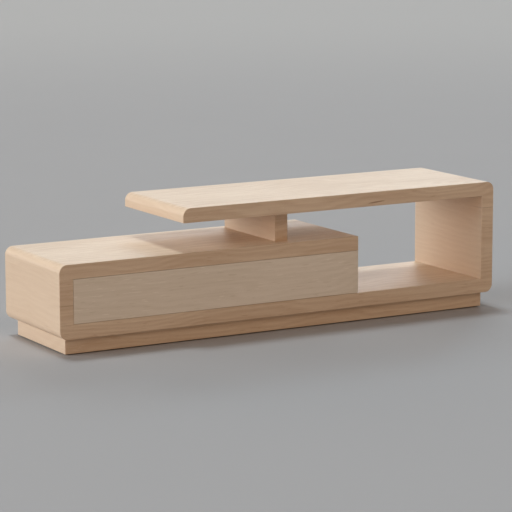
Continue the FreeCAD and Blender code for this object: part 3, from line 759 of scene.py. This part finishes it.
def select_only(piece: bpy.types.Object) -> None:
    """Makes an object the active one and the only one that is selected.

    Args:
        piece: The object.
    """
    bpy.ops.object.select_all(action="DESELECT")
    piece.select_set(True)
    bpy.context.view_layer.objects.active = piece


def is_sharp(edge: Edge) -> bool:
    """Whether an edge is a real edge, and not a line across a flat or round face."""
    return edge.is_manifold and edge.calc_face_angle() > SHARP_ANGLE


class Bench:
    """One piece on the bench, which is sawn, rounded and rebated step by step."""

    def __init__(self, name: str, piece: bpy.types.Object) -> None:
        """Puts a piece on the bench.

        Args:
            name: Name that the piece gets.
            piece: The piece.
        """
        self.piece = piece
        self.piece.name = name
        self.piece.data.name = name

    @classmethod
    def block(cls, name: str, span: Span) -> "Bench":
        """Starts from a plain block.

        Args:
            name: Name of the new piece.
            span: Box that the block fills.

        Returns:
            The bench with the block on it.
        """
        bpy.ops.object.select_all(action="DESELECT")
        bpy.ops.mesh.primitive_cube_add(size=1.0, location=span.middle)
        made = cls(name, bpy.context.object)
        made.piece.scale = span.size
        bpy.ops.object.transform_apply(location=True, rotation=True, scale=True)
        return made

    @classmethod
    def copy_of(cls, name: str, node: str) -> "Bench":
        """Starts from a copy of a CAD node, with its loose triangles joined into clean faces.

        Args:
            name: Name of the new piece.
            node: CAD node to copy.

        Returns:
            The bench with the copy on it.
        """
        select_only(frame["nodes"][node])
        bpy.ops.object.duplicate()
        made = cls(name, bpy.context.object)
        for key in [key for key in made.piece.keys() if key.startswith("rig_")]:
            del made.piece[key]
        bpy.ops.object.parent_clear(type="CLEAR_KEEP_TRANSFORM")
        bpy.ops.object.mode_set(mode="EDIT")
        bpy.ops.mesh.select_all(action="SELECT")
        bpy.ops.mesh.remove_doubles(threshold=MERGE)
        bpy.ops.mesh.dissolve_limited(angle_limit=FLAT_ANGLE)
        bpy.ops.object.mode_set(mode="OBJECT")
        return made

    def saw(self, axis: Axis, place: float) -> "Bench":
        """Scores the faces round the piece, so that an edge can end there.

        Args:
            axis: Axis square to the cut.
            place: Where on the axis the cut is, in metres.

        Returns:
            The bench itself.
        """
        select_only(self.piece)
        bpy.ops.object.mode_set(mode="EDIT")
        bpy.ops.mesh.select_all(action="SELECT")
        bpy.ops.mesh.bisect(plane_co=axis.unit * place, plane_no=axis.unit)
        bpy.ops.object.mode_set(mode="OBJECT")
        return self

    def ease(self, takes: Callable[[Edge], bool], width: float, segments: int) -> "Bench":
        """Rounds over the edges that pass a test.

        Args:
            takes: Test of an edge.
            width: Radius of the round, in metres.
            segments: Facets across the round.

        Returns:
            The bench itself.
        """
        select_only(self.piece)
        bpy.ops.object.mode_set(mode="EDIT")
        bpy.ops.mesh.select_mode(type="EDGE")
        bpy.ops.mesh.select_all(action="DESELECT")
        mesh = bmesh.from_edit_mesh(self.piece.data)
        chosen = [edge for edge in mesh.edges if takes(edge)]
        for edge in chosen:
            edge.select_set(True)
        bmesh.update_edit_mesh(self.piece.data)
        if chosen:
            bpy.ops.mesh.bevel(offset=width, segments=segments, profile=ARC_PROFILE, affect="EDGES")
        bpy.ops.object.mode_set(mode="OBJECT")
        return self

    def arrises(self, width_of: Callable[[Edge], float], segments: int) -> "Bench":
        """Eases edges in one pass, each by its own width.

        Args:
            width_of: Gives an edge's width in metres, or 0 to leave it sharp.
            segments: Facets across each round.

        Returns:
            The bench itself.
        """
        select_only(self.piece)
        shape = self.piece.data
        mesh = bmesh.new()
        mesh.from_mesh(shape)
        widths = [width_of(edge) for edge in mesh.edges]
        mesh.free()
        widest = max(widths)
        weights = shape.attributes.new(EDGE_WEIGHT, "FLOAT", "EDGE")
        weights.data.foreach_set("value", [width / widest for width in widths])
        bpy.ops.object.modifier_add(type="BEVEL")
        bevel = self.piece.modifiers[-1]
        bevel.limit_method = "WEIGHT"
        bevel.width = widest
        bevel.segments = segments
        bevel.use_clamp_overlap = False
        bpy.ops.object.modifier_apply(modifier=bevel.name)
        shape.attributes.remove(shape.attributes[EDGE_WEIGHT])
        return self

    def rebate(self, span: Span) -> "Bench":
        """Cuts a box out of the piece.

        Args:
            span: The box.

        Returns:
            The bench itself.
        """
        cutter = Bench.block("rebate_cutter", span).piece
        select_only(self.piece)
        bpy.ops.object.modifier_add(type="BOOLEAN")
        cut = self.piece.modifiers[-1]
        cut.operation = "DIFFERENCE"
        cut.solver = "EXACT"
        cut.object = cutter
        bpy.ops.object.modifier_apply(modifier=cut.name)
        bpy.data.meshes.remove(cutter.data)
        return self

    def finished(self) -> bpy.types.Object:
        """Shades the piece smoothly over its rounds and flat on its faces.

        Returns:
            The finished piece.
        """
        select_only(self.piece)
        bpy.ops.object.shade_smooth_by_angle(angle=SMOOTH_ANGLE)
        bpy.ops.object.modifier_add(type="WEIGHTED_NORMAL")
        weighted = self.piece.modifiers[-1]
        weighted.keep_sharp = True
        weighted.weight = FACE_WEIGHT
        bpy.ops.object.modifier_apply(modifier=weighted.name)
        return self.piece


def dress(piece: bpy.types.Object, material: bpy.types.Material) -> None:
    """Gives a piece one material in all its slots.

    Args:
        piece: The piece.
        material: The material.
    """
    if not piece.material_slots:
        piece.data.materials.append(material)
    for slot in piece.material_slots:
        slot.material = material


def keep(node: str, material: bpy.types.Material) -> None:
    """Dresses a CAD node that keeps its shape.

    Args:
        node: The CAD node.
        material: Its finish.
    """
    dress(frame["nodes"][node], material)
    LOG.info("%s keeps its shape, finished in %s", node, material.name)


def fit(piece: bpy.types.Object, body: str, slot: str, node: str) -> bpy.types.Object:
    """Puts a finished piece in the place of a CAD node.

    Args:
        piece: The new piece.
        body: CAD body that it rides on.
        slot: Material slot of the record.
        node: CAD node that it stands for.

    Returns:
        The piece.
    """
    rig.ride(piece, body)
    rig.slot(piece, slot)
    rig.replaces(piece, node)
    LOG.info("%s stands for %s on %s: %d faces", piece.name, node, body, len(piece.data.polygons))
    return piece


@dataclass
class Carcass:
    """The thick boards, butt jointed, with large rounds on the outer corners."""

    corner: float = 0.030
    corner_segments: int = 18
    arris: float = 0.001
    drawer_arris: float = 0.0004  # edges beside the drawer front, kept crisp
    drawer_reveal: float = 0.001  # gap round the drawer front
    end_arris: float = 0.002  # lower or upper edge of a free end
    arris_segments: int = 3
    hairline: float = 0.0005  # edges in a joint
    rebate_slack: float = 0.0005  # room round the back panel
    rebate_run_out: float = 0.030  # how far the cut of its rebate runs out behind a board
    body: str = "carcass"
    slot: str = "carcass_wood"
    back_panel: str = "cabinet_back_panel"
    log: Log = Log(step=(1.7, 0.31, 0.23))
    marks: dict[str, tuple[Mark, ...]] = field(
        default_factory=lambda: {
            "top_shelf": (Mark((0.799, 0.0, 0.014), (0.045, 0.030, 0.0035), rise=0.08),),
            "left_side_panel": (Mark((0.026, 0.0, 0.067), (0.060, 0.012, 0.0022), depth=0.42),),
            "right_side_panel": (Mark((0.032, 0.0, 0.271), (0.060, 0.120, 0.0026), depth=0.42),),
        }
    )
    boards: tuple[str, ...] = (
        "base_panel",
        "left_side_panel",
        "cabinet_top_panel",
        "right_side_panel",
        "top_shelf",
        "shelf_support",
        "cabinet_end_panel",
    )

    def corners(self, board: str) -> list[Round]:
        """Large rounds of a board.

        Args:
            board: Name of the board's CAD node.

        Returns:
            The rounds, none on most boards.
        """
        own = Span.of(board)
        low, high = own.low, own.high
        known = {
            "base_panel": [(low.x, low.z), (high.x, low.z)],
            "cabinet_top_panel": [(low.x, high.z)],
            "top_shelf": [(low.x, high.z), (high.x, high.z)],
        }
        return [Round(x, z, self.corner) for x, z in known.get(board, [])]

    def ends(self, board: str) -> list[Round]:
        """Small rounds on a board's free end.

        Args:
            board: Name of the board's CAD node.

        Returns:
            The rounds, none on most boards.
        """
        own = Span.of(board)
        low, high = own.low, own.high
        known = {"cabinet_top_panel": [(high.x, high.z)], "top_shelf": [(low.x, low.z)]}
        return [Round(x, z, self.end_arris) for x, z in known.get(board, [])]

    def contacts(self, board: str) -> list[Span]:
        """Finds a board's joints.

        Args:
            board: Name of the board's CAD node.

        Returns:
            Flat boxes where it touches the boards beside it.
        """
        own = Span.of(board)
        others = [Span.of(other) for other in self.boards if other != board]
        return [touch for touch in map(own.contact, others) if touch is not None]

    @staticmethod
    def score(bench: Bench, own: Span, joints: Iterable[Span]) -> None:
        """Scores a board where the joints that reach its front begin and end.

        Args:
            bench: Bench with the board on it.
            own: The board's box.
            joints: The board's joints.
        """
        shown = [joint for joint in joints if joint.low.y < own.low.y + TOUCH]
        for axis in (Axis.X, Axis.Y):
            way = axis.value
            places = {round(end[way], PLACE_DIGITS) for joint in shown for end in (joint.low, joint.high)}
            for place in sorted(places):
                if own.low[way] + TOUCH < place < own.high[way] - TOUCH:
                    bench.saw(axis, place)

    def edge_widths(self, board: str, joints: Sequence[Span]) -> Callable[[Edge], float]:
        """Rule for how far a board's edges are eased.

        Args:
            board: Name of the board's CAD node.
            joints: The board's joints.

        Returns:
            Function that gives an edge's width in metres.
        """
        drawer_gap = Span.of("drawer_front").grown(self.drawer_reveal, 0.0, self.drawer_reveal)
        ends = self.ends(board)

        def width_of(edge: Edge) -> float:
            """Width of an edge: least in a joint and beside the drawer, most at a free end.

            Args:
                edge: The edge.

            Returns:
                Its width in metres, or 0 to leave it as it is.
            """
            if not is_sharp(edge):
                return 0.0
            if any(all(joint.holds(v.co) for v in edge.verts) for joint in joints):
                return self.hairline
            for end in ends:
                if end.takes(edge):
                    return end.radius
            run = Span.round_points([v.co for v in edge.verts])
            return self.drawer_arris if run.contact(drawer_gap) else self.arris

        return width_of

    def cut_back_rebate(self, bench: Bench, own: Span) -> None:
        """Cuts the rebate for the back panel, where the panel meets the board.

        Args:
            bench: Bench with the board on it.
            own: The board's box.
        """
        back = Span.of(self.back_panel)
        if own.contact(back):
            opening = back.grown(self.rebate_slack, 0.0, self.rebate_slack)
            behind = Vector((opening.high.x, own.high.y + self.rebate_run_out, opening.high.z))
            bench.rebate(Span(opening.low, behind))

    def board(self, name: str) -> bpy.types.Object:
        """Models one board from a block.

        Args:
            name: Name of the board's CAD node.

        Returns:
            The finished board.
        """
        own = Span.of(name)
        joints = self.contacts(name)
        bench = Bench.block(f"{name}_board", own)
        self.score(bench, own, joints)
        for corner in self.corners(name):
            bench.ease(corner.takes, corner.radius, self.corner_segments)
        bench.arrises(self.edge_widths(name, joints), self.arris_segments)
        self.cut_back_rebate(bench, own)
        return bench.finished()

    def build(self) -> list[bpy.types.Object]:
        """Models and dresses all the boards, and dresses the back panel.

        Returns:
            The boards.
        """
        made = []
        for number, name in enumerate(self.boards):
            piece = self.board(name)
            marks = [mark.on(Span.of(name).low) for mark in self.marks.get(name, ())]
            dress(piece, MAPLE.material(name, self.log.place(number), marks))
            made.append(fit(piece, self.body, self.slot, name))
        back_middle = Span.of(self.back_panel).middle
        keep(self.back_panel, BIRCH_PLY.material(Axis.Y, Axis.X, back_middle.y))
        return made


@dataclass
class Plinth:
    """Recessed frame under the base, with its cross rails, corner blocks and glides."""

    arris: float = 0.0008
    arris_segments: int = 2
    straight: float = 0.9  # least share of a long edge's length that runs along its rail
    body: str = "carcass"
    slot: str = "plinth_wood"
    log: Log = Log(start=(0.4, 0.0, 0.41), step=(2.1, 0.17, 0.0))
    rails: dict[str, Axis] = field(
        default_factory=lambda: {"front": Axis.X, "back": Axis.X, "left": Axis.Y, "right": Axis.Y}
    )
    hidden: tuple[str, ...] = ("plinth_cross_rail_1", "plinth_cross_rail_2", "plinth_corner_blocks")

    def rail(self, node: str, along: Axis) -> bpy.types.Object:
        """Models one mitred rail with eased long edges.

        Args:
            node: Name of the rail's CAD node.
            along: Axis that the rail runs along.

        Returns:
            The finished rail.
        """

        def long_edge(edge: Edge) -> bool:
            """Whether an edge runs along the rail."""
            run = edge.verts[0].co - edge.verts[1].co
            return is_sharp(edge) and abs(run[along.value]) > self.straight * run.length

        bench = Bench.copy_of(f"{node}_board", node)
        return bench.ease(long_edge, self.arris, self.arris_segments).finished()

    def build(self) -> list[bpy.types.Object]:
        """Models and dresses the rails, and dresses the pieces behind them.

        Returns:
            The rails.
        """
        made = []
        for number, (side, along) in enumerate(self.rails.items()):
            node = f"plinth_{side}_rail"
            piece = self.rail(node, along)
            dress(piece, MAPLE.material(f"plinth_{side}", self.log.place(number)))
            made.append(fit(piece, self.body, self.slot, node))
        rough = ROUGH_WOOD.material("plinth_inside")
        for node in self.hidden:
            keep(node, rough)
        keep("floor_glides", BROWN_NYLON.material())
        return made


@dataclass
class Drawer:
    """Push-open drawer: pale flush front on a finger-jointed plywood box."""

    front_arris: float = 0.0004
    front_segments: int = 3
    box_arris: float = 0.0006
    box_segments: int = 2
    least_edge: float = 0.012  # shorter edges of the box, such as hole rims, stay sharp
    body: str = "drawer"
    log: Log = Log(start=(0.9, 0.6, 0.35))
    through: dict[str, Axis] = field(
        default_factory=lambda: {
            "drawer_box_front": Axis.Y,
            "drawer_back": Axis.Y,
            "drawer_left_side": Axis.X,
            "drawer_right_side": Axis.X,
            "drawer_bottom_left": Axis.Z,
            "drawer_bottom_right": Axis.Z,
        }
    )

    def front(self) -> bpy.types.Object:
        """Models and dresses the drawer front from a block.

        Returns:
            The front.
        """
        span = Span.of("drawer_front")

        def shown(edge: Edge) -> bool:
            """Whether an edge is on the front face."""
            return is_sharp(edge) and all(v.co.y < span.low.y + TOUCH for v in edge.verts)

        bench = Bench.block("drawer_front_board", span)
        piece = bench.ease(shown, self.front_arris, self.front_segments).finished()
        dress(piece, GREY_MAPLE.material("drawer_front", self.log.place()))
        return fit(piece, self.body, "drawer_front_wood", "drawer_front")

    def long_edge(self, edge: Edge) -> bool:
        """Whether an edge is a long real edge."""
        return is_sharp(edge) and edge.calc_length() > self.least_edge

    def sheet(self, node: str, through: Axis) -> bpy.types.Object:
        """Models and dresses one sheet of the plywood box.

        Args:
            node: Name of the sheet's CAD node.
            through: Axis through its thickness.

        Returns:
            The sheet.
        """
        bench = Bench.copy_of(f"{node}_board", node)
        piece = bench.ease(self.long_edge, self.box_arris, self.box_segments).finished()
        run = Axis.Y if through is Axis.X else Axis.X
        dress(piece, BIRCH_PLY.material(through, run, Span.of(node).middle[through.value]))
        slot = "panel_wood" if through is Axis.Z else "drawer_box_wood"
        return fit(piece, self.body, slot, node)

    def build(self) -> list[bpy.types.Object]:
        """Models and dresses the drawer's wooden pieces.

        Returns:
            The new pieces.
        """
        made = [self.front()]
        for node, through in self.through.items():
            made.append(self.sheet(node, through))
        keep("drawer_muntin", BEECH.material("muntin"))
        return made


@dataclass
class Hardware:
    """Slides, latches, screws and dowels, which keep their exact shapes, and the latches' springs."""

    sides: tuple[str, ...] = ("left", "right")
    body: str = "carcass"

    def finishes(self) -> dict[str, bpy.types.Material]:
        """Chooses the finishes.

        Returns:
            Material of each piece of hardware by its CAD node.
        """
        zinc, strip, polished = ZINC.material(), CAGE_STRIP.material(), POLISHED.material()
        screw, beech = SCREW_ZINC.material(), BEECH.material("dowel")
        grey, white = GREY_PLASTIC.material(), WHITE_PLASTIC.material()
        found = {"latch_strike_plates": NICKEL.material()}
        for side in self.sides:
            for member in ("cabinet", "middle", "drawer"):
                found[f"{side}_slide_{member}_member"] = zinc
            for row in ("outer", "inner"):
                found[f"{side}_slide_{row}_ball_cages"] = strip
                found[f"{side}_slide_{row}_balls"] = polished
            found[f"{side}_latch_housing"] = grey
            found[f"{side}_latch_plunger"] = white
        for node in frame["nodes"]:
            if node.endswith("screws"):
                found[node] = screw
            if node.endswith("dowels"):
                found[node] = beech
        return found

    def spring(self, side: str, wire: bpy.types.Material) -> bpy.types.Object:
        """Models a latch spring, which shortens towards its back end as the plunger goes in.

        Args:
            side: Side of the drawer.
            wire: Material of the spring.

        Returns:
            The finished spring.
        """
        node, push = f"{side}_latch_spring", f"{side}_plunger_push"
        span = Span.of(node)
        piece = Bench.copy_of(f"{node}_coil", node).finished()
        dress(piece, wire)
        fit(piece, self.body, "spring_steel", node)
        _, travel = next(joint["range_m"] for joint in frame["joints"] if joint["name"] == push)
        seat = (span.middle.x, span.high.y, span.middle.z)
        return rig.squash(piece, push, axis=Axis.Y.unit, anchor=seat, keep=1.0 - travel / span.size.y)

    def build(self) -> list[bpy.types.Object]:
        """Dresses the hardware and models the springs.

        Returns:
            The springs.
        """
        for node, material in self.finishes().items():
            keep(node, material)
        wire = SPRING_WIRE.material()
        return [self.spring(side, wire) for side in self.sides]


class Tint(Enum):
    """Colour of a light, linear."""

    WHITE = (0.94, 0.97, 1.0)
    COOL = (0.77, 0.91, 1.0)
    SKY = (0.55, 0.8, 1.0)
    WARM = (1.0, 0.86, 0.74)
    AMBER = (1.0, 0.68, 0.42)


@dataclass(frozen=True)
class SoftLight:
    """Broad soft light from one direction."""

    name: str
    bearing: float  # degrees from straight behind the stand, towards its left
    height: float  # degrees above the floor
    spread: float  # degrees across
    strength: float
    tint: Tint
    distance: float = 5.0  # metres, for the lamp's symbol alone, because its rays are parallel

    def hang(self) -> None:
        """Hangs the light."""
        turn, lift = math.radians(self.bearing), math.radians(self.height)
        level = math.cos(lift)
        towards = Vector((-math.sin(turn) * level, math.cos(turn) * level, math.sin(lift)))
        bpy.ops.object.select_all(action="DESELECT")
        bpy.ops.object.light_add(type="SUN", location=towards * self.distance)
        lamp = bpy.context.object
        lamp.name = self.name
        lamp.rotation_euler = towards.to_track_quat("Z", "Y").to_euler()
        lamp.data.angle = math.radians(self.spread)
        lamp.data.energy = self.strength
        lamp.data.color = self.tint.value


LIGHTS = (
    SoftLight("left_back_low_light", 65, 10, 36, 1.43, Tint.WHITE),
    SoftLight("top_light", 0, 75, 12, 1.36, Tint.COOL),
    SoftLight("left_light", 90, 25, 36, 0.95, Tint.COOL),
    SoftLight("front_left_light", 135, 8, 36, 0.64, Tint.AMBER),
    SoftLight("front_high_light", 180, 45, 36, 0.61, Tint.WARM),
    SoftLight("left_rear_light", 45, 8, 36, 0.58, Tint.WHITE),
    SoftLight("back_low_light", 0, 8, 36, 0.52, Tint.WARM),
    SoftLight("back_right_light", -30, 20, 30, 0.38, Tint.WARM),
    SoftLight("right_sheen_light", -45, 24, 10, 0.32, Tint.SKY),
    SoftLight("back_right_sheen_light", -30, 33, 16, 0.24, Tint.SKY),
)


@dataclass
class Studio:
    """Grey floor, a ring of soft lights and the camera at the photograph's viewing angle."""

    floor_size: float = 90.0
    floor_tint: Colour = (169, 164, 162)
    floor_roughness: float = 0.9
    floor_shade: float = 0.99  # brightness of the floor's darker patches
    mottle: Noise = Noise(1.5, 1.5, 2.0)
    # colour of the far floor: painted light, paler than the floor, standing in for a brighter-lit backdrop
    painted_backdrop_light: Colour = (180, 175, 171)
    backdrop_reach: Limits = (5.5, 14.5)  # metres from the stand where the floor is painted paler, as painted light for a brighter-lit backdrop
    sky_tint: Tint = Tint.WARM
    sky_strength: float = 0.06
    lights: tuple[SoftLight, ...] = LIGHTS
    camera_place: Place = (-4.4015, -7.6720, 1.7960)
    camera_yaw: float = 29.851  # degrees to the right of straight back
    camera_pitch: float = 9.981  # degrees below level
    camera_roll: float = -0.085  # degrees
    lens: float = 172.26  # focal length, in millimetres
    sensor: float = 36.0  # width, in millimetres

    def floor(self) -> None:
        """Lays the floor, which is the backdrop too; its colour is painted paler with the distance, as painted light
        for a brighter-lit backdrop.
        """
        bpy.ops.object.select_all(action="DESELECT")
        bpy.ops.mesh.primitive_plane_add(size=self.floor_size, location=(0.0, 0.0, 0.0))
        piece = bpy.context.object
        piece.name = "studio_floor"
        shader = Shader("studio_floor")
        place = shader.place()
        shade = srgb(self.floor_tint, self.floor_shade)
        near = shader.mix(self.mottle.at(place), shade, srgb(self.floor_tint))
        # painted light: the floor's colour turns paler with distance to stand in for a brighter-lit backdrop
        far = shader.length(place).between(*self.backdrop_reach)
        tint = shader.mix(far, near, srgb(self.painted_backdrop_light))
        dress(piece, shader.surface(Base_Color=tint, Roughness=self.floor_roughness))
        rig.stage(piece)

    def sky(self) -> None:
        """Lights the studio evenly from all round."""
        world = bpy.data.worlds.new("studio_sky")
        bpy.context.scene.world = world
        world.use_nodes = True
        background = world.node_tree.nodes["Background"]
        background.inputs["Color"].default_value = (*self.sky_tint.value, 1.0)
        background.inputs["Strength"].default_value = self.sky_strength

    def camera(self) -> None:
        """Sets up the camera."""
        bpy.ops.object.select_all(action="DESELECT")
        bpy.ops.object.camera_add(location=self.camera_place)
        camera = bpy.context.object
        camera.name = "photo_camera"
        turn = Matrix.Rotation(-math.radians(self.camera_yaw), 4, "Z")
        tip = Matrix.Rotation(math.radians(LEVEL - self.camera_pitch), 4, "X")
        roll = Matrix.Rotation(math.radians(self.camera_roll), 4, "Z")
        camera.rotation_euler = (turn @ tip @ roll).to_euler()
        camera.data.lens = self.lens
        camera.data.sensor_width = self.sensor
        camera.data.clip_end = self.floor_size
        bpy.context.scene.camera = camera

    def build(self) -> None:
        """Sets up floor, light and camera."""
        self.floor()
        self.sky()
        for light in self.lights:
            light.hang()
        self.camera()
        bpy.context.scene.view_settings.view_transform = "Standard"


def write_sizes() -> None:
    """Writes the CAD box and the dressed model's box side by side."""
    boxes = {"cad": CAD_BOX, "visual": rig.bounds()}
    with open(SIZE_FILE, "w") as out:
        json.dump({name: [list(corner) for corner in box] for name, box in boxes.items()}, out)


def main() -> None:
    """Builds the stand's looks and the studio, and reports what each sub-assembly adds."""
    logging.basicConfig(level=logging.INFO, format="%(name)s: %(message)s")
    for assembly in (Carcass(), Plinth(), Drawer(), Hardware()):
        made = assembly.build()
        LOG.info("%s done: %d new pieces", type(assembly).__name__, len(made))
    Studio().build()
    write_sizes()


if __name__ == "__main__":
    main()
